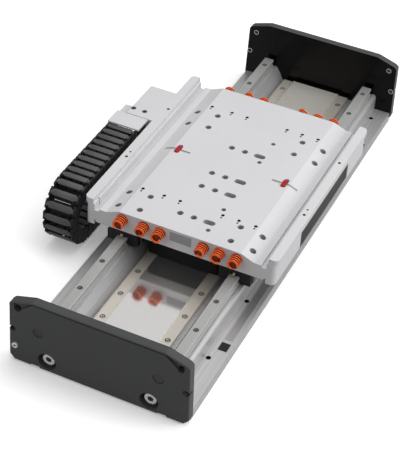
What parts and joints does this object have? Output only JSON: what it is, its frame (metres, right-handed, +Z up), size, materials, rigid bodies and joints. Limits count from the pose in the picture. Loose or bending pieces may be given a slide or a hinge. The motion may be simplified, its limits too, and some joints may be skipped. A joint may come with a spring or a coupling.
{
  "type": "linear motor stage",
  "caption": "Direct-drive linear stage: sprung carriage on two profile rails over a magnet track, between black end caps, with a rolling cable carrier at its side.",
  "frame": {"origin": "middle of the base's bottom face", "axes": "+Y along the travel, towards the far end cap; +Z up; +X towards the position scale"},
  "size_m": [0.3365, 0.748, 0.108],
  "materials": {
    "black_cap": "satin",
    "black_epoxy": "matte",
    "black_plastic": "matte",
    "black_steel": "satin",
    "block_steel": "satin",
    "brass": "polished",
    "bright_steel": "polished",
    "dark_window": "gloss",
    "extruded_aluminium": "brushed",
    "grey_plastic": "matte",
    "ground_steel": "satin",
    "magnet": "matte",
    "mirror_cover": "polished",
    "nickel_plate": "satin",
    "orange_spring": "gloss",
    "red_plastic": "gloss",
    "scale_steel": "satin",
    "white_anodised": "satin"
  },
  "bodies": {
    "base": {"base_extrusion": "extruded_aluminium", "cap_bolts": "bright_steel", "cap_plugs": "black_cap", "chain_fixed_end": "black_plastic", "chain_foot": "bright_steel", "chain_foot_screws": "black_steel", "chain_lower_bars": "grey_plastic", "chain_lower_sides": "black_plastic", "end_cap_far": "black_cap", "end_cap_near": "black_cap", "ground_screw": "bright_steel", "limit_targets": "black_plastic", "magnet_cover_far": "mirror_cover", "magnet_cover_near": "mirror_cover", "magnet_plate_far": "nickel_plate", "magnet_plate_near": "nickel_plate", "magnet_plate_screws": "black_steel", "magnets_far": "magnet", "magnets_near": "magnet", "position_scale": "scale_steel", "rail_left": "ground_steel", "rail_right": "ground_steel", "rail_screws_left": "black_steel", "rail_screws_right": "black_steel"},
    "carriage": {"bearing_block_far_left": "block_steel", "bearing_block_far_right": "block_steel", "bearing_block_near_left": "block_steel", "bearing_block_near_right": "block_steel", "block_ends_far_left": "black_plastic", "block_ends_far_right": "black_plastic", "block_ends_near_left": "black_plastic", "block_ends_near_right": "black_plastic", "block_screws": "black_steel", "carriage_plate": "white_anodised", "chain_bracket": "white_anodised", "chain_bracket_screws": "black_steel", "chain_hood": "white_anodised", "chain_moving_end": "black_plastic", "chain_upper_bars": "grey_plastic", "chain_upper_sides": "black_plastic", "clip_left": "red_plastic", "clip_right": "red_plastic", "clip_wires": "bright_steel", "coil_screws": "black_steel", "grease_nipples": "brass", "motor_coil": "black_epoxy", "reader_window": "dark_window", "scale_reader": "dark_window", "spring_pins": "black_steel", "springs_far": "orange_spring", "springs_near": "orange_spring", "wing_left": "white_anodised", "wing_right": "white_anodised"},
    "carrier_bend": {"chain_bend_bars": "grey_plastic", "chain_bend_sides": "black_plastic"}
  },
  "joints": [
    {"name": "carriage_travel", "type": "slide", "parent": "base", "child": "carriage", "axis": [0, 1, 0], "range_m": [-0.192, 0.157], "deforming": ["chain_bend_bars", "chain_bend_sides", "chain_lower_bars", "chain_lower_sides", "chain_upper_bars", "chain_upper_sides"]},
    {"name": "carrier_roll", "type": "slide", "parent": "base", "child": "carrier_bend", "axis": [0, 1, 0], "range_m": [-0.0961, 0.0786]}
  ],
  "couplings": [
    {"joint": "carrier_roll", "follows": "carriage_travel", "ratio": 0.5}
  ]
}
